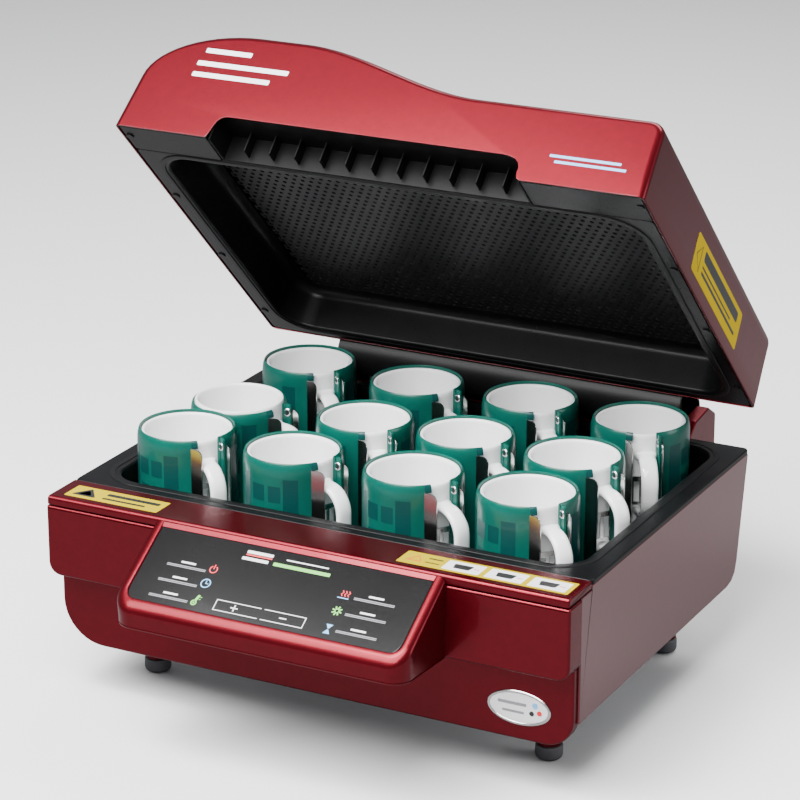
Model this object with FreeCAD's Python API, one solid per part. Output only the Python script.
import FreeCAD, Part
import math
import os

from FreeCAD import Vector

os.makedirs("parts", exist_ok=True)

# Mug heat press with its lid open, in millimetres. While it is built, z = 0 is the rim of the
# chamber, y = 0 the front edge of the chamber's flange, +X is the operator's right and +Y the back.
# At the end everything moves so that the origin is at the bottom centre of the open machine.

# Driving dimensions of the base
BODY_HALF_W = 250.0
FLANGE_D = 347.0
FLANGE_T = 4.0
RIM_HEIGHT = 189.0
CHAMBER_HALF_W = 226.0
CHAMBER_FRONT = 20.0
CHAMBER_BACK = 329.0
CHAMBER_FLOOR = -58.0
CHAMBER_R = 28.0
SHEET = 2.0
LEDGE_FRONT = -44.5
LEDGE_T = 8.0
BAND_FRONT = -45.0
BAND_TOP = -9.0
BAND_BOTTOM = -74.0
APRON_FRONT = -28.0
APRON_BOTTOM = -142.0
PANEL_FRONT = -20.5
PANEL_BOTTOM = -121.0
PAN_HALF_W = 246.0
FOOT_X = 195.0
FOOT_Y = (42.0, 292.0)
FOOT_R = 11.0
PAD_TOP = -176.0

# Control console: a wedge in front of the fascia
CONSOLE_HALF_W = 139.5
CONSOLE_TOP = -3.0
CONSOLE_FRONT = -122.0
CONSOLE_EDGE = -52.2
CONSOLE_BOTTOM = -71.0
CONSOLE_WALL = 2.5
CONSOLE_R = 18.0
GLASS_HALF_W = 129.5
GLASS_TOP = 4.0
GLASS_RIM = 7.0
GLASS_T = 2.0

# Lid, modelled closed and then opened about the hinge
LID_OPEN_DEG = 44.56
HINGE_Y = 393.0
HINGE_Z = 10.0
LID_FRONT = -34.0
LID_BACK = 349.0
LID_Z = 2.0
LID_HALF_W = 251.0
LID_WALL = 2.5
LID_LOW_H = 75.5
LID_HIGH_H = 110.0
FRONT_LEAN = 0.1
CAVITY_HALF_W = 228.0
CAVITY_FRONT = 18.0
CAVITY_BACK = 333.0
CAVITY_R = 30.0
CAVITY_DEPTH = 40.0
QUARTER_ARC = 0.5523
NOTCH_LEFT = -158.0
NOTCH_RIGHT = 138.0
NOTCH_H = 23.0
GRIP_BACK = 8.0

# Hinge
PIN_R = 4.0
PIN_FIT = 0.05
KNUCKLE_R = 9.5
EAR_R = 9.0
EAR_T = 3.0
EAR_STEM = 5.5
KNUCKLE_W = 16.0
KNUCKLE_X = (-150.0, 0.0, 150.0)
NECK_HALF_W = 178.0
HOUSING_HALF_W = 192.0
HOUSING_FRONT = 348.0
HOUSING_BACK = 410.0
HOUSING_BOTTOM = -60.0
SKIRT_R = 42.0

# Mugs and their clamping wraps
MUG_R = 41.0
MUG_H = 95.0
MUG_WALL = 4.0
MUG_FLOOR = 6.0
HANDLE_REACH = 31.0
HANDLE_W = 14.0
HANDLE_T = 7.0
HANDLE_LOW = 20.0
HANDLE_HIGH = 78.0
HANDLE_R = 24.0
WRAP_R = 44.5
WRAP_TOP = 97.0
WRAP_GAP = 0.2
WRAP_SLOT = 26.0
WRAP_FOOT = 3.0
TAB_T = 2.2
TAB_REACH = 8.5
# How far each side's strips lean in towards the handle
TAB_LEAN = {-1: 27.0, 1: -8.0}
PLATE_REACH = 15.0
PLATE_T = 1.2
# Each mug: centre x and y, then the directions of its wrap's slot and of its handle in degrees
# from +X; the rows go from the back to the front
MUGS = (
    (-169.4, 283.2, -45.0, -41.0),
    (-51.9, 276.2, -26.5, -26.5),
    (60.7, 283.2, -50.0, -45.0),
    (171.5, 278.8, -64.5, -59.0),
    (-177.0, 164.5, -6.0, -6.0),
    (-48.9, 168.4, -51.0, -48.0),
    (49.2, 173.2, -33.0, -28.0),
    (156.5, 168.9, -34.0, -28.0),
    (-178.1, 74.2, -36.0, -36.0),
    (-66.6, 68.4, -22.0, -22.0),
    (49.3, 71.8, -32.0, -26.0),
    (157.4, 72.6, -44.0, -38.0),
)
LOW_WRAP = 5
LOW_WRAP_TOP = 93.0

# Rear equipment, on the sloping rear panel
REAR_TOP = (344.0, -5.0)
REAR_LOW = (325.5, -102.0)
REAR_FOOT = (302.0, -119.0)
REAR_T = 1.2
INLET_X = -150.0
FAN_X = 130.0
REAR_KIT_Z = -81.0
INLET_HALF_W = 38.0
INLET_HALF_H = 15.0
ROCKER_X = 22.0
ROCKER_HALF_W = 6.0
ROCKER_HALF_H = 9.5
ROCKER_TILT = 8.0
ROCKER_PIN_R = 1.5
ROCKER_PIN_HALF = 8.5
FAN_HALF = 18.0
FAN_T = 10.0
FAN_BORE_R = 16.5
FAN_SEAT = 1.5

# Hot-air fan inside the high side of the lid
BLOWER_X = -130.0
BLOWER_Y = 175.0
BLOWER_R = 55.0
SHAFT_R = 3.0

# Vacuum line under the chamber
PORT_X = 108.0
PORT_Y = 222.0
HOSE_R = 4.0
HOSE_BEND = 20.0
HOSE_Z = -98.0
PUMP_BACK = 150.0

SCREW_R = 1.75
SCREW_HEAD_R = 3.5
SCREW_LEN = 7.0
SCREW_FIT = 0.15


def box(x0, x1, y0, y1, z0, z1):
    return Part.makeBox(x1 - x0, y1 - y0, z1 - z0, Vector(x0, y0, z0))


def cylinder(x, y, z, radius, length, axis=Vector(0, 0, 1)):
    return Part.makeCylinder(radius, length, Vector(x, y, z), axis)


def rounded_prism(x0, x1, y0, y1, z0, z1, radius):
    """Upright block whose four vertical edges are round."""
    block = box(x0, x1, y0, y1, z0, z1)
    upright = [e for e in block.Edges if abs(e.tangentAt(e.FirstParameter).z) > 0.9]
    return block.makeFillet(radius, upright)


def prism_x(points, x0, x1):
    """Outline of (y, z) points extruded from x0 to x1."""
    ring = [Vector(x0, y, z) for y, z in points]
    return Part.Face(Part.makePolygon(ring + ring[:1])).extrude(Vector(x1 - x0, 0, 0))


def plate_with_low_corners(half_w, z0, z1, y0, y1, left_r, right_r):
    """Upright plate across the machine with its two lower corners rounded."""
    plate = box(-half_w, half_w, y0, y1, z0, z1)
    for x, radius in ((-half_w, left_r), (half_w, right_r)):
        corner = [e for e in plate.Edges
                  if abs(e.Vertexes[0].X - x) < 0.01 and abs(e.Vertexes[-1].X - x) < 0.01
                  and abs(e.Vertexes[0].Z - z0) < 0.01 and abs(e.Vertexes[-1].Z - z0) < 0.01]
        plate = plate.makeFillet(radius, corner)
    return plate


def ring_prism(half_w, y0, y1, z0, z1, radius, width):
    """Rectangular ring with round corners, as wide as given outside the inner outline."""
    outer = rounded_prism(-half_w - width, half_w + width, y0 - width, y1 + width, z0, z1, radius + width)
    return outer.cut(rounded_prism(-half_w, half_w, y0, y1, z0 - 1, z1 + 1, radius))


def screw(x, y, z, drive):
    """Pan-head screw whose head's underside is at (x, y, z); drive points into the part."""
    into = Vector(*drive)
    shank = Part.makeCylinder(SCREW_R, SCREW_LEN, Vector(x, y, z), into)
    head = Part.makeCylinder(SCREW_HEAD_R, 1.2, Vector(x, y, z) - into * 1.2, into)
    return shank.fuse(head).removeSplitter()


def screw_hole(x, y, z, drive):
    into = Vector(*drive)
    start = Vector(x, y, z) - into * SCREW_LEN
    return Part.makeCylinder(SCREW_R + SCREW_FIT, 3 * SCREW_LEN, start, into)


# ---------------------------------------------------------------- base

PAN_SCREWS = [(x, y, PANEL_BOTTOM, (0, 0, 1)) for x in (-225, 0, 225) for y in (10, 160, 275)]
HOUSING_SCREWS = [(x, HOUSING_BACK, -30.0, (0, -1, 0)) for x in (-170, -60, 60, 170)]


def chamber_tub():
    flange = rounded_prism(-BODY_HALF_W, BODY_HALF_W, 0, FLANGE_D, -FLANGE_T, 0, 5)
    well = rounded_prism(-CHAMBER_HALF_W - SHEET, CHAMBER_HALF_W + SHEET, CHAMBER_FRONT - SHEET,
                         CHAMBER_BACK + SHEET, CHAMBER_FLOOR - SHEET, -1, CHAMBER_R + SHEET)
    hollow = rounded_prism(-CHAMBER_HALF_W, CHAMBER_HALF_W, CHAMBER_FRONT, CHAMBER_BACK,
                           CHAMBER_FLOOR, 5, CHAMBER_R)
    port = cylinder(PORT_X, PORT_Y, CHAMBER_FLOOR - 10, HOSE_R + 0.2, 20)
    return flange.fuse(well).cut(hollow).cut(port).removeSplitter()


def chamber_gasket():
    inset = 6.0
    return ring_prism(CHAMBER_HALF_W + inset, CHAMBER_FRONT - inset, CHAMBER_BACK + inset,
                      0, 0.7, CHAMBER_R + inset, 5.0)


def side_panel(side):
    outer = side * BODY_HALF_W
    inner = side * (BODY_HALF_W - SHEET)
    outline = [(PANEL_FRONT, -LEDGE_T - 0.2), (0, -LEDGE_T - 0.2), (0, -FLANGE_T - 0.2),
               (346, -FLANGE_T - 0.2), (327, -102), (323, -113), (315, -119),
               (304, PANEL_BOTTOM), (PANEL_FRONT, PANEL_BOTTOM)]
    panel = prism_x(outline, min(outer, inner), max(outer, inner))
    lip_out = side * (BODY_HALF_W - SHEET)
    lip_in = side * (BODY_HALF_W - SHEET - 12)
    lip = box(min(lip_in, lip_out), max(lip_in, lip_out), 0, 300, -FLANGE_T - 2.2, -FLANGE_T - 0.2)
    return panel.fuse(lip).removeSplitter()


def rear_point(height):
    """Point (y, z) on the rear panel's outer face at this z."""
    share = (height - REAR_LOW[1]) / (REAR_TOP[1] - REAR_LOW[1])
    return REAR_LOW[0] + share * (REAR_TOP[0] - REAR_LOW[0]), height


REAR_LEAN = math.atan2(REAR_TOP[0] - REAR_LOW[0], REAR_TOP[1] - REAR_LOW[1])
REAR_Y = rear_point(REAR_KIT_Z)[0]


def on_rear_panel(shape, x):
    """Place a shape built on the plane y = 0, facing +Y, on the rear panel at this x."""
    placed = shape.copy()
    placed.rotate(Vector(0, 0, 0), Vector(1, 0, 0), -math.degrees(REAR_LEAN))
    placed.translate(Vector(x, REAR_Y, REAR_KIT_Z))
    return placed


def rear_panel():
    outline = [REAR_TOP, REAR_LOW, REAR_FOOT, (REAR_FOOT[0], REAR_FOOT[1] + REAR_T),
               (REAR_LOW[0] - REAR_T, REAR_LOW[1] + REAR_T), (REAR_TOP[0] - REAR_T, REAR_TOP[1])]
    panel = prism_x(outline, -PAN_HALF_W, PAN_HALF_W)
    inlet_hole = on_rear_panel(box(-INLET_HALF_W + 3, INLET_HALF_W - 3, -5, 5,
                                   -INLET_HALF_H + 2, INLET_HALF_H - 2), INLET_X)
    fan_hole = on_rear_panel(cylinder(0, -5, 0, FAN_BORE_R, 10, Vector(0, 1, 0)), FAN_X)
    panel = panel.cut(inlet_hole).cut(fan_hole)
    for i in range(10):
        x = -40 + 12 * i
        panel = panel.cut(on_rear_panel(box(-2, 2, -5, 5, -12, 12), x))
    return panel


def bottom_pan():
    pan = box(-PAN_HALF_W, PAN_HALF_W, -14, 300, PANEL_BOTTOM, PANEL_BOTTOM + SHEET)
    for side in (-1, 1):
        x0 = side * PAN_HALF_W
        x1 = side * (PAN_HALF_W - SHEET)
        pan = pan.fuse(box(min(x0, x1), max(x0, x1), -14, 300, PANEL_BOTTOM, PANEL_BOTTOM + 14))
    for y0 in (-14, 300 - SHEET):
        pan = pan.fuse(box(-PAN_HALF_W, PAN_HALF_W, y0, y0 + SHEET, PANEL_BOTTOM, PANEL_BOTTOM + 14))
    for i in range(12):
        x = -88 + 16 * i
        pan = pan.cut(box(x - 2.5, x + 2.5, 100, 150, PANEL_BOTTOM - 1, PANEL_BOTTOM + 5))
    for spot in PAN_SCREWS:
        pan = pan.cut(screw_hole(*spot))
    for x in (-FOOT_X, FOOT_X):
        for y in FOOT_Y:
            pan = pan.cut(cylinder(x, y, PANEL_BOTTOM - 2, 4.2, 8))
    return pan.removeSplitter()


def front_fascia():
    wall = CONSOLE_WALL
    band = plate_with_low_corners(BODY_HALF_W + 1, BAND_BOTTOM, BAND_TOP, BAND_FRONT,
                                  PANEL_FRONT - 0.5, 12, 12)
    band_in = box(-BODY_HALF_W - 1 + wall, BODY_HALF_W + 1 - wall, BAND_FRONT + wall, 0,
                  BAND_BOTTOM + wall, BAND_TOP - wall)
    apron = plate_with_low_corners(BODY_HALF_W - 2, APRON_BOTTOM, BAND_BOTTOM + 5, APRON_FRONT,
                                   PANEL_FRONT + 5, 40, 26)
    apron_in = plate_with_low_corners(BODY_HALF_W - 2 - wall, APRON_BOTTOM + wall, BAND_BOTTOM + 6,
                                      APRON_FRONT + wall, 0, 38, 24)
    shell = band.cut(band_in).fuse(apron.cut(apron_in)).cut(band_in)
    return shell.cut(apron_in).cut(box(-300, 300, PANEL_FRONT - 0.4, 0, BAND_BOTTOM - 3, 0)).removeSplitter()


def front_ledge():
    ledge = rounded_prism(-BODY_HALF_W, BODY_HALF_W, LEDGE_FRONT, -0.3, -LEDGE_T, 0, 3)
    return ledge.cut(box(-BODY_HALF_W + SHEET, BODY_HALF_W - SHEET, LEDGE_FRONT + SHEET,
                         -0.3 - SHEET, -LEDGE_T - 1, -SHEET))


CONSOLE_SLOPE = math.atan2(CONSOLE_TOP - CONSOLE_EDGE, BAND_FRONT - CONSOLE_FRONT)


def console_wedge(inset):
    back = BAND_FRONT - 0.1
    slope_drop = inset / math.cos(CONSOLE_SLOPE)
    outline = [(back + (1 if inset else 0), CONSOLE_TOP - slope_drop),
               (CONSOLE_FRONT + inset, CONSOLE_EDGE - slope_drop + inset * math.tan(CONSOLE_SLOPE)),
               (CONSOLE_FRONT + inset, CONSOLE_BOTTOM + inset),
               (back + (1 if inset else 0), CONSOLE_BOTTOM - 4 + inset)]
    wedge = prism_x(outline, -CONSOLE_HALF_W + inset, CONSOLE_HALF_W - inset)
    front = CONSOLE_FRONT + inset + 0.01
    corners = [e for e in wedge.Edges if abs(e.Vertexes[0].X - e.Vertexes[-1].X) < 0.01
               and max(e.Vertexes[0].Y, e.Vertexes[-1].Y) < front]
    return wedge.makeFillet(CONSOLE_R - inset, corners)


def on_console(x0, x1, up0, up1, s0, s1):
    """Block on the console's slope: up is along its normal, s is the distance down the slope."""
    block = box(x0, x1, -s1, -s0, up0, up1)
    block.rotate(Vector(0, 0, 0), Vector(1, 0, 0), math.degrees(CONSOLE_SLOPE))
    block.translate(Vector(0, BAND_FRONT, CONSOLE_TOP))
    return block


CONSOLE_LEN = math.hypot(CONSOLE_TOP - CONSOLE_EDGE, BAND_FRONT - CONSOLE_FRONT)


def console_housing():
    shell = console_wedge(0).cut(console_wedge(CONSOLE_WALL + 2))
    seat = on_console(-GLASS_HALF_W - 0.2, GLASS_HALF_W + 0.2, -GLASS_T - 0.1, 5,
                      GLASS_TOP - 0.2, CONSOLE_LEN - GLASS_RIM + 0.2)
    window = on_console(-GLASS_HALF_W + 4, GLASS_HALF_W - 4, -8, 1,
                        GLASS_TOP + 5, CONSOLE_LEN - GLASS_RIM - 6)
    return shell.cut(seat).cut(window)


def console_glass():
    return on_console(-GLASS_HALF_W, GLASS_HALF_W, -GLASS_T, 0, GLASS_TOP, CONSOLE_LEN - GLASS_RIM)


def vacuum_pump():
    motor = cylinder(PORT_X, 62, HOSE_Z, 14, 48, Vector(0, 1, 0))
    head = box(PORT_X - 19, PORT_X + 19, 110, PUMP_BACK - 8, HOSE_Z - 20, HOSE_Z + 18)
    barb = cylinder(PORT_X, PUMP_BACK - 8, HOSE_Z, 2.4, 14, Vector(0, 1, 0))
    foot = box(PORT_X - 22, PORT_X + 22, 66, PUMP_BACK - 10, PANEL_BOTTOM + SHEET, HOSE_Z - 13)
    return motor.fuse(head).fuse(barb).fuse(foot).removeSplitter()


def vacuum_hose():
    top = Vector(PORT_X, PORT_Y, CHAMBER_FLOOR - 1)
    bend_top = Vector(PORT_X, PORT_Y, HOSE_Z + HOSE_BEND)
    bend_mid = Vector(PORT_X, PORT_Y - HOSE_BEND * (1 - math.cos(math.pi / 4)),
                      HOSE_Z + HOSE_BEND * (1 - math.sin(math.pi / 4)))
    bend_end = Vector(PORT_X, PORT_Y - HOSE_BEND, HOSE_Z)
    end = Vector(PORT_X, PUMP_BACK - 8, HOSE_Z)
    path = Part.Wire([Part.LineSegment(top, bend_top).toShape(),
                      Part.Arc(bend_top, bend_mid, bend_end).toShape(),
                      Part.LineSegment(bend_end, end).toShape()])
    outer = Part.Wire(Part.makeCircle(HOSE_R, top))
    inner = Part.Wire(Part.makeCircle(2.5, top))
    hose = path.makePipeShell([outer], True, False)
    return hose.cut(path.makePipeShell([inner], True, False))


def control_board():
    base = PANEL_BOTTOM + SHEET
    board = box(-180, -40, 40, 150, base + 8, base + 9.6)
    for x in (-176, -44):
        for y in (44, 146):
            board = board.fuse(cylinder(x, y, base, 2.5, 9))
    transformer = box(-172, -132, 60, 96, base + 9.6, base + 40)
    relay = box(-120, -100, 60, 76, base + 9.6, base + 28)
    capacitor = cylinder(-85, 70, base + 9.6, 8, 22)
    terminals = box(-170, -90, 132, 142, base + 9.6, base + 20)
    for part in (transformer, relay, capacitor, terminals):
        board = board.fuse(part)
    return board.removeSplitter()


def power_inlet():
    bezel = box(-INLET_HALF_W, INLET_HALF_W, 0, 2.5, -INLET_HALF_H, INLET_HALF_H)
    body = box(-INLET_HALF_W + 3.2, INLET_HALF_W - 3.2, -24, 1, -INLET_HALF_H + 2.2, INLET_HALF_H - 2.2)
    recess = box(-INLET_HALF_W + 6, 6, -16, 4, -9.5, 9.5)
    pins = [box(x - 1, x + 1, -17, -6, z - 3, z + 3) for x, z in ((-20, -2), (-13, 3), (-6, -2))]
    switch_well = box(ROCKER_X - ROCKER_HALF_W - 0.5, ROCKER_X + ROCKER_HALF_W + 0.5, -13, 4,
                      -ROCKER_HALF_H - 1.4, ROCKER_HALF_H + 1.4)
    pivot = cylinder(ROCKER_X - ROCKER_PIN_HALF - 0.5, 0, 0, ROCKER_PIN_R + PIN_FIT,
                     2 * ROCKER_PIN_HALF + 1, Vector(1, 0, 0))
    unit = bezel.fuse(body).cut(recess).cut(switch_well).cut(pivot)
    for pin in pins:
        unit = unit.fuse(pin)
    return on_rear_panel(unit.removeSplitter(), INLET_X)


def power_switch_rocker():
    """Rocker that tips on its pin about the X axis; its rest position is off, top edge in."""
    crown = [(-8, -4), (-8, 4), (-3, ROCKER_HALF_H - 1), (3.2, ROCKER_HALF_H - 1), (1.6, 0),
             (3.2, -ROCKER_HALF_H + 1), (-3, -ROCKER_HALF_H + 1)]
    body = prism_x(crown, -ROCKER_HALF_W, ROCKER_HALF_W)
    body.rotate(Vector(0, 0, 0), Vector(1, 0, 0), -ROCKER_TILT)
    pin = cylinder(-ROCKER_PIN_HALF, 0, 0, ROCKER_PIN_R, 2 * ROCKER_PIN_HALF, Vector(1, 0, 0))
    body = body.fuse(pin).removeSplitter()
    body.translate(Vector(ROCKER_X, 0, 0))
    return on_rear_panel(body, INLET_X)


def cooling_fan_frame():
    frame = box(-FAN_HALF, FAN_HALF, -FAN_T - FAN_SEAT, -FAN_SEAT, -FAN_HALF, FAN_HALF)
    frame = frame.cut(cylinder(0, -FAN_T - 5, 0, FAN_BORE_R, FAN_T + 5, Vector(0, 1, 0)))
    hub_back = -FAN_T - FAN_SEAT
    hub = cylinder(0, hub_back, 0, 9, 1.5, Vector(0, 1, 0))
    spindle = cylinder(0, hub_back, 0, 1.5, FAN_T - 1, Vector(0, 1, 0))
    frame = frame.fuse(hub).fuse(spindle)
    for turn in range(3):
        arm = box(7, FAN_BORE_R + 1, hub_back, hub_back + 1.5, -1.5, 1.5)
        arm.rotate(Vector(0, 0, 0), Vector(0, 1, 0), 120 * turn)
        frame = frame.fuse(arm)
    return on_rear_panel(frame.removeSplitter(), FAN_X)


def cooling_fan_rotor():
    front = -FAN_T - FAN_SEAT + 2.2
    rotor = cylinder(0, front, 0, 8, 7, Vector(0, 1, 0))
    blades = 7
    for i in range(blades):
        blade = box(6, FAN_BORE_R - 1.2, -0.6, 0.6, -3.6, 3.6)
        blade.rotate(Vector(0, 0, 0), Vector(1, 0, 0), 35)
        blade.translate(Vector(0, front + 3.5, 0))
        blade.rotate(Vector(0, 0, 0), Vector(0, 1, 0), 360.0 * i / blades)
        rotor = rotor.fuse(blade)
    rotor = rotor.cut(cylinder(0, front - 1, 0, 1.55, 20, Vector(0, 1, 0)))
    return on_rear_panel(rotor.removeSplitter(), FAN_X)


def foot_posts():
    posts = []
    for x in (-FOOT_X, FOOT_X):
        for y in FOOT_Y:
            post = cylinder(x, y, PAD_TOP, FOOT_R, PANEL_BOTTOM - PAD_TOP)
            stud = cylinder(x, y, PANEL_BOTTOM - 1, 4, 12)
            posts.append(post.fuse(stud).removeSplitter())
    return Part.makeCompound(posts)


def foot_pads():
    pads = []
    for x in (-FOOT_X, FOOT_X):
        for y in FOOT_Y:
            pad = cylinder(x, y, -RIM_HEIGHT, FOOT_R + 1, PAD_TOP + RIM_HEIGHT)
            rims = [e for e in pad.Edges if e.Curve.TypeId == "Part::GeomCircle"
                    and e.Vertexes[0].Z < -RIM_HEIGHT + 0.1]
            pads.append(pad.makeFillet(4, rims))
    return Part.makeCompound(pads)


def case_screws():
    return Part.makeCompound([screw(*spot) for spot in PAN_SCREWS + HOUSING_SCREWS])


# ---------------------------------------------------------------- hinge

def hinge_housing():
    outline = [(HOUSING_FRONT, HOUSING_BOTTOM), (HOUSING_FRONT, 0), (362, 11), (392.5, 15),
               (HOUSING_BACK, 4.3), (HOUSING_BACK, HOUSING_BOTTOM)]
    inner = [(HOUSING_FRONT + SHEET, HOUSING_BOTTOM + SHEET), (HOUSING_FRONT + SHEET, -1),
             (363, 9), (392, 12.8), (HOUSING_BACK - SHEET, 3), (HOUSING_BACK - SHEET, HOUSING_BOTTOM + SHEET)]
    shell = prism_x(outline, -HOUSING_HALF_W, HOUSING_HALF_W)
    shell = shell.cut(prism_x(inner, -HOUSING_HALF_W + SHEET, HOUSING_HALF_W - SHEET))
    mouth = box(-NECK_HALF_W - 2, NECK_HALF_W + 2, HOUSING_FRONT - 1, HOUSING_BACK - SHEET, 0, 30)
    shell = shell.cut(mouth)
    for spot in HOUSING_SCREWS:
        shell = shell.cut(screw_hole(*spot))
    return shell


def hinge_brackets():
    brackets = []
    for x in KNUCKLE_X:
        for side in (-1, 1):
            x0 = x + side * (KNUCKLE_W / 2 + 0.5)
            x1 = x0 + side * EAR_T
            low, high = min(x0, x1), max(x0, x1)
            ear = box(low, high, HINGE_Y - EAR_STEM, HINGE_Y + EAR_STEM, HOUSING_BOTTOM + SHEET, HINGE_Z)
            ear = ear.fuse(cylinder(low, HINGE_Y, HINGE_Z, EAR_R, high - low, Vector(1, 0, 0)))
            ear = ear.cut(cylinder(low - 1, HINGE_Y, HINGE_Z, PIN_R, high - low + 2, Vector(1, 0, 0)))
            brackets.append(ear.removeSplitter())
    return Part.makeCompound(brackets)


def hinge_pins():
    half = KNUCKLE_W / 2 + 0.5 + EAR_T + 1
    return Part.makeCompound([cylinder(x - half, HINGE_Y, HINGE_Z, PIN_R, 2 * half, Vector(1, 0, 0))
                              for x in KNUCKLE_X])


def hinge_sector(radius, thickness, start_deg, end_deg):
    """Part of a tube about the hinge axis; angles run from +Y towards +Z."""
    x0 = -NECK_HALF_W
    outer = cylinder(x0, HINGE_Y, HINGE_Z, radius, 2 * NECK_HALF_W, Vector(1, 0, 0))
    tube = outer.cut(cylinder(x0 - 1, HINGE_Y, HINGE_Z, radius - thickness, 2 * NECK_HALF_W + 2,
                              Vector(1, 0, 0)))
    reach = 2 * radius
    middle = math.radians((start_deg + end_deg) / 2)
    start, end = math.radians(start_deg), math.radians(end_deg)
    fan = [(HINGE_Y, HINGE_Z)]
    for angle in (start, middle, end):
        fan.append((HINGE_Y + reach * math.cos(angle), HINGE_Z + reach * math.sin(angle)))
    return tube.common(prism_x(fan, x0, NECK_HALF_W))


def hinge_neck():
    half = NECK_HALF_W
    back = LID_BACK
    mounting = box(-half, half, back, back + 3, LID_Z + 1.5, HINGE_Z + KNUCKLE_R + 2.5)
    toe = box(-half, half, back, HINGE_Y - SKIRT_R + 3.5, LID_Z + 1, LID_Z + 3.5)
    roof = box(-half, half, back, HINGE_Y, HINGE_Z + KNUCKLE_R, HINGE_Z + KNUCKLE_R + 2.5)
    skirt = hinge_sector(SKIRT_R, 2, 188.6, 232)
    cover = hinge_sector(KNUCKLE_R + 2.5, 2.5, 0, 90)
    neck = mounting.fuse(toe).fuse(roof).fuse(skirt).fuse(cover)
    for x in KNUCKLE_X:
        knuckle = cylinder(x - KNUCKLE_W / 2, HINGE_Y, HINGE_Z, KNUCKLE_R, KNUCKLE_W, Vector(1, 0, 0))
        web = box(x - KNUCKLE_W / 2, x + KNUCKLE_W / 2, back, HINGE_Y, HINGE_Z - 1, HINGE_Z + KNUCKLE_R)
        neck = neck.fuse(knuckle).fuse(web)
    bore = cylinder(-half - 1, HINGE_Y, HINGE_Z, PIN_R + PIN_FIT, 2 * half + 2, Vector(1, 0, 0))
    return neck.cut(bore).removeSplitter()


# ---------------------------------------------------------------- lid

def lid_section(inset, y):
    """Front view of the lid: a high left side, a wave down to the low right side."""
    base = LID_Z - (1 if inset else 0)
    top = LID_Z + LID_HIGH_H - inset
    low = LID_Z + LID_LOW_H - inset
    left = -249 + inset
    ellipse_w = 100 - inset
    ellipse_h = 55 - inset
    right_top = 246 - inset
    corner = 14 - inset

    def at(x, z):
        return Vector(x, y, z)

    start_left = at(-LID_HALF_W + inset, base)
    shoulder = at(left, top - ellipse_h)
    bump = at(left + ellipse_w, top)
    wave_start = at(-105, top)
    wave_end = at(75, low)
    wave = Part.BezierCurve()
    wave.setPoles([wave_start, at(-45, top), at(15, low), wave_end])
    flat_end = at(right_top - corner, low)
    bulge = corner * (1 - math.sqrt(0.5))
    corner_mid = at(right_top - bulge, low - bulge)
    corner_end = at(right_top, low - corner)
    start_right = at(LID_HALF_W - inset, base)
    shoulder_curve = Part.BezierCurve()
    shoulder_curve.setPoles([shoulder, at(left, top - ellipse_h * (1 - QUARTER_ARC)),
                             at(left + ellipse_w * (1 - QUARTER_ARC), top), bump])
    edges = [Part.LineSegment(start_left, shoulder).toShape(), shoulder_curve.toShape(),
             Part.LineSegment(bump, wave_start).toShape(), wave.toShape(),
             Part.LineSegment(wave_end, flat_end).toShape(),
             Part.Arc(flat_end, corner_mid, corner_end).toShape(),
             Part.LineSegment(corner_end, start_right).toShape(),
             Part.LineSegment(start_right, start_left).toShape()]
    return Part.Face(Part.Wire(edges))


def lid_block(inset):
    front = LID_FRONT + inset
    back = LID_BACK - inset
    block = lid_section(inset, front).extrude(Vector(0, back - front, 0))
    height = LID_HIGH_H + 20
    wedge = prism_x([(front - 1, LID_Z), (front, LID_Z), (front + FRONT_LEAN * height, LID_Z + height),
                     (front - 1, LID_Z + height)], -300, 300)
    return block.cut(wedge)


LID_SCREWS = [(x, y, LID_Z, (0, 0, 1)) for x in (-243, 243) for y in (-15, 90, 200, 310)]


def lid_cover():
    cover = lid_block(0).cut(lid_block(LID_WALL))
    notch = box(NOTCH_LEFT, NOTCH_RIGHT, LID_FRONT - 1, LID_FRONT + 8, LID_Z - 30, LID_Z + NOTCH_H)
    tops = [e for e in notch.Edges if min(e.Vertexes[0].Z, e.Vertexes[-1].Z) > LID_Z
            and abs(e.Vertexes[0].X - e.Vertexes[-1].X) < 0.01]
    return cover.cut(notch.makeFillet(12, tops))


def lid_inner_frame():
    edge = LID_WALL + 0.7
    plate = box(-LID_HALF_W + edge, LID_HALF_W - edge, LID_FRONT + edge, LID_BACK - edge, LID_Z, LID_Z + 3)
    walls = rounded_prism(-CAVITY_HALF_W - SHEET, CAVITY_HALF_W + SHEET, CAVITY_FRONT - SHEET,
                          CAVITY_BACK + SHEET, LID_Z, LID_Z + CAVITY_DEPTH + 2, CAVITY_R + SHEET)
    hollow = rounded_prism(-CAVITY_HALF_W, CAVITY_HALF_W, CAVITY_FRONT, CAVITY_BACK, LID_Z - 5,
                           LID_Z + CAVITY_DEPTH + 5, CAVITY_R)
    grip = box(NOTCH_LEFT - 1, NOTCH_RIGHT + 1, LID_FRONT, GRIP_BACK, LID_Z - 5, LID_Z + 5)
    frame = plate.fuse(walls).cut(hollow).cut(grip)
    for spot in LID_SCREWS:
        frame = frame.cut(screw_hole(*spot))
    return frame.removeSplitter()


def lid_gasket():
    inset = 6.0
    return ring_prism(CAVITY_HALF_W + inset - 2, CAVITY_FRONT - inset + 2, CAVITY_BACK + inset - 2,
                      LID_Z - 1.0, LID_Z, CAVITY_R + inset, 5.0)


def diffuser_plate():
    z0 = LID_Z + CAVITY_DEPTH
    return rounded_prism(-CAVITY_HALF_W + 0.5, CAVITY_HALF_W - 0.5, CAVITY_FRONT + 0.5,
                         CAVITY_BACK - 0.5, z0, z0 + 1.5, CAVITY_R - 0.5)


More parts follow.
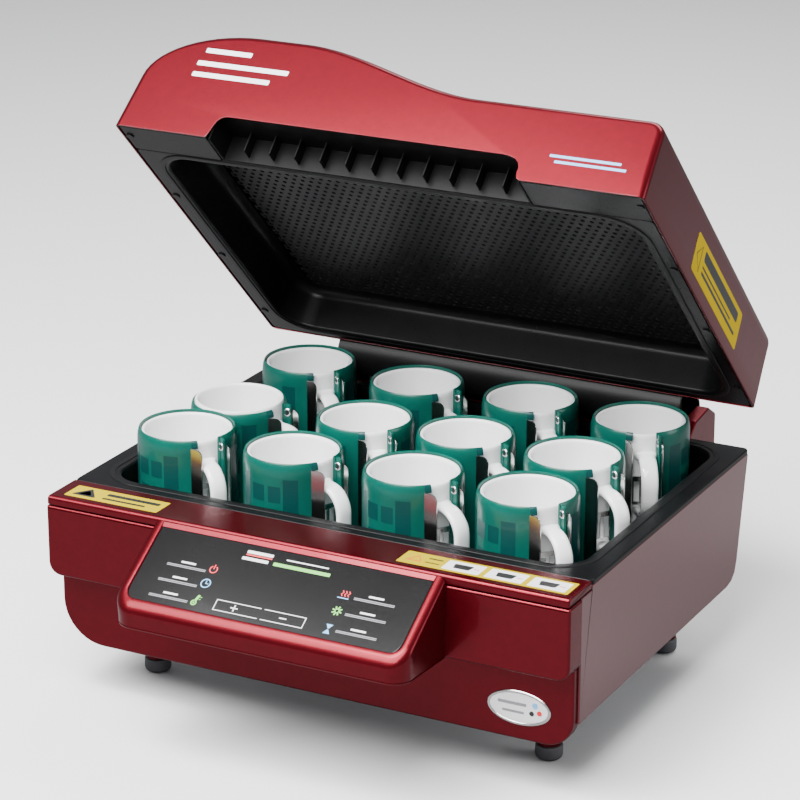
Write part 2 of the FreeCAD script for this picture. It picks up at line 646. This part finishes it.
def heater_elements():
    heaters = []
    z = LID_Z + 53
    for y in (60, 120, 230, 290):
        rod = cylinder(-30, y, z, 4.5, 240, Vector(1, 0, 0))
        for x in (-40, 210):
            rod = rod.fuse(cylinder(x, y, z, 7, 10, Vector(1, 0, 0)))
        heaters.append(rod.removeSplitter())
    return Part.makeCompound(heaters)


def lid_insulation():
    slab = box(-50, 238, -10, 342, LID_Z + 62, LID_Z + 70)
    skirt = box(-50, 238, 338, 342, LID_Z + 10, LID_Z + 62)
    return slab.fuse(skirt).removeSplitter()


def circulation_fan_motor():
    z = LID_Z + 70
    motor = cylinder(BLOWER_X, BLOWER_Y, z, 26, 34)
    plate = rounded_prism(BLOWER_X - 55, BLOWER_X + 55, BLOWER_Y - 55, BLOWER_Y + 55, z - 3, z, 8)
    hole = cylinder(BLOWER_X, BLOWER_Y, z - 5, SHAFT_R + PIN_FIT, 25)
    return motor.fuse(plate).cut(hole).removeSplitter()


def circulation_fan_impeller():
    z = LID_Z + 46
    wheel = cylinder(BLOWER_X, BLOWER_Y, z + 14, BLOWER_R - 4, 1.5)
    hub = cylinder(BLOWER_X, BLOWER_Y, z, 10, 16)
    shaft = cylinder(BLOWER_X, BLOWER_Y, z, SHAFT_R, 42)
    wheel = wheel.fuse(hub).fuse(shaft)
    blades = 10
    for i in range(blades):
        blade = box(8, BLOWER_R - 4, -0.75, 0.75, 0, 15)
        blade.rotate(Vector(0, 0, 0), Vector(0, 0, 1), 360.0 * i / blades)
        blade.translate(Vector(BLOWER_X, BLOWER_Y, z))
        wheel = wheel.fuse(blade)
    return wheel.removeSplitter()


def grip_insert():
    x0, x1 = NOTCH_LEFT - 0.6, NOTCH_RIGHT + 0.6
    y0, y1 = LID_FRONT + LID_WALL + 3, GRIP_BACK - 0.3
    z0, z1 = LID_Z + 0.3, LID_Z + NOTCH_H + 3
    insert = box(x0, x1, y0, y1, z0, z1).cut(box(x0 + 2, x1 - 2, y0 - 1, y1 - 2, z0 - 1, z1 - 2))
    ribs = 11
    for i in range(1, ribs + 1):
        x = x0 + (x1 - x0) * i / (ribs + 1)
        insert = insert.fuse(box(x - 0.8, x + 0.8, y1 - 14, y1 - 1, z0 + 5, z1 - 1))
    return insert.removeSplitter()


def lid_screws():
    return Part.makeCompound([screw(*spot) for spot in LID_SCREWS])


def opened(shape):
    """Turn a shape of the closed lid to the open position."""
    raised = shape.copy()
    raised.rotate(Vector(0, HINGE_Y, HINGE_Z), Vector(1, 0, 0), -LID_OPEN_DEG)
    return raised


# ---------------------------------------------------------------- mugs and wraps

def at_mug(shape, index, is_mug=False):
    """Place a shape built about the Z axis, with its handle or slot towards +X, at this mug's place."""
    x, y, slot_angle, handle_angle = MUGS[index]
    angle = handle_angle if is_mug else slot_angle
    placed = shape.copy()
    placed.rotate(Vector(0, 0, 0), Vector(0, 0, 1), angle)
    placed.translate(Vector(x, y, CHAMBER_FLOOR))
    return placed


def mug():
    cup = cylinder(0, 0, 0, MUG_R, MUG_H)
    outer = box(0, MUG_R + HANDLE_REACH, -HANDLE_W / 2, HANDLE_W / 2, HANDLE_LOW, HANDLE_HIGH)
    inner = box(-1, MUG_R + HANDLE_REACH - HANDLE_T, -HANDLE_W, HANDLE_W,
                HANDLE_LOW + HANDLE_T, HANDLE_HIGH - HANDLE_T)
    loop = fillet_far_edges(outer, HANDLE_R).cut(fillet_far_edges(inner, HANDLE_R - HANDLE_T))
    body = cup.fuse(loop)
    return body.cut(cylinder(0, 0, MUG_FLOOR, MUG_R - MUG_WALL, MUG_H)).removeSplitter()


def fillet_far_edges(block, radius):
    """Round the two edges along Y that lie farthest out along X."""
    far = block.BoundBox.XMax
    edges = [e for e in block.Edges if abs(e.Vertexes[0].X - far) < 0.01
             and abs(e.Vertexes[-1].X - far) < 0.01
             and abs(e.Vertexes[0].Z - e.Vertexes[-1].Z) < 0.01]
    return block.makeFillet(radius, edges)


def mug_wrap(top):
    """Sleeve open at the handle, with a clamping strip on each side of the opening."""
    sleeve = cylinder(0, 0, WRAP_FOOT, WRAP_R, top - WRAP_FOOT)
    sleeve = sleeve.cut(cylinder(0, 0, 0, MUG_R + WRAP_GAP, top + 1))
    sleeve = sleeve.cut(box(10, 60, -WRAP_SLOT / 2, WRAP_SLOT / 2, 0, top + 1))
    for side in (-1, 1):
        sleeve = sleeve.fuse(clamp_tab(side, 0, TAB_T, TAB_REACH, 8, top - 4))
    return sleeve.removeSplitter()


def clamp_tab(side, start, end, reach, z0, z1):
    """Upright strip beside the handle, standing out from the wrap."""
    foot = math.sqrt((MUG_R + WRAP_GAP) ** 2 - (WRAP_SLOT / 2) ** 2)
    y0, y1 = sorted((side * start, side * end))
    strip = box(0.5, reach, y0, y1, z0, z1)
    strip.rotate(Vector(0, 0, 0), Vector(0, 0, 1), -side * TAB_LEAN[side])
    strip.translate(Vector(foot, side * WRAP_SLOT / 2, 0))
    return strip.cut(cylinder(0, 0, z0 - 1, MUG_R + WRAP_GAP, z1 - z0 + 2))


def clamp_plate(side):
    start = TAB_T + 0.1
    plate = clamp_tab(side, start, start + PLATE_T, PLATE_REACH, 10, LOW_WRAP_TOP - 6)
    return plate.cut(cylinder(0, 0, 0, WRAP_R + 0.1, MUG_H))


def clamp_latch():
    """Cross strip through the handle's loop, with two windows."""
    x0 = MUG_R + 5
    strip = box(x0, x0 + PLATE_T, -8, 8, HANDLE_LOW + 11, HANDLE_HIGH - 20)
    for y in (-4.2, 4.2):
        strip = strip.cut(box(x0 - 1, x0 + 3, y - 2.4, y + 2.4, HANDLE_LOW + 14, HANDLE_HIGH - 25))
    return strip


def group(make, *cases):
    return Part.makeCompound([at_mug(make(*case), i) for i in range(len(MUGS)) for case in cases])


def build():
    shapes = {
        "bottom_pan": bottom_pan(),
        "side_panel_left": side_panel(-1),
        "side_panel_right": side_panel(1),
        "rear_panel": rear_panel(),
        "front_fascia": front_fascia(),
        "front_ledge": front_ledge(),
        "console_housing": console_housing(),
        "console_glass": console_glass(),
        "chamber_tub": chamber_tub(),
        "chamber_gasket": chamber_gasket(),
        "vacuum_pump": vacuum_pump(),
        "vacuum_hose": vacuum_hose(),
        "control_board": control_board(),
        "power_inlet": power_inlet(),
        "power_switch_rocker": power_switch_rocker(),
        "cooling_fan_frame": cooling_fan_frame(),
        "cooling_fan_rotor": cooling_fan_rotor(),
        "hinge_housing": hinge_housing(),
        "hinge_brackets": hinge_brackets(),
        "hinge_pins": hinge_pins(),
        "foot_posts": foot_posts(),
        "foot_pads": foot_pads(),
        "case_screws": case_screws(),
        "clamp_plates": group(clamp_plate, (-1,), (1,)),
        "clamp_latches": group(clamp_latch, ()),
        "lid_cover": opened(lid_cover()),
        "lid_inner_frame": opened(lid_inner_frame()),
        "lid_gasket": opened(lid_gasket()),
        "diffuser_plate": opened(diffuser_plate()),
        "heater_elements": opened(heater_elements()),
        "lid_insulation": opened(lid_insulation()),
        "hinge_neck": opened(hinge_neck()),
        "grip_insert": opened(grip_insert()),
        "circulation_fan_motor": opened(circulation_fan_motor()),
        "circulation_fan_impeller": opened(circulation_fan_impeller()),
        "lid_screws": opened(lid_screws()),
    }
    cup = mug()
    wrap = mug_wrap(WRAP_TOP)
    for i in range(len(MUGS)):
        name = "%02d" % (i + 1)
        shapes["mug_" + name] = at_mug(cup, i, is_mug=True)
        shapes["mug_wrap_" + name] = at_mug(wrap if i + 1 != LOW_WRAP else mug_wrap(LOW_WRAP_TOP), i)
    return shapes


SHAPES = build()
WHOLE = Part.makeCompound(list(SHAPES.values())).optimalBoundingBox(True, False)
ORIGIN = Vector(0, (WHOLE.YMin + WHOLE.YMax) / 2, -RIM_HEIGHT)

for node, shape in SHAPES.items():
    shape.translate(-ORIGIN)
    shape.exportStep("parts/%s.step" % node)
    print(node, len(shape.Solids), shape.isValid(), round(shape.Volume / 1000, 1))
print("nodes", len(SHAPES), "origin", ORIGIN, "size", WHOLE.XLength, WHOLE.YLength, WHOLE.ZLength)
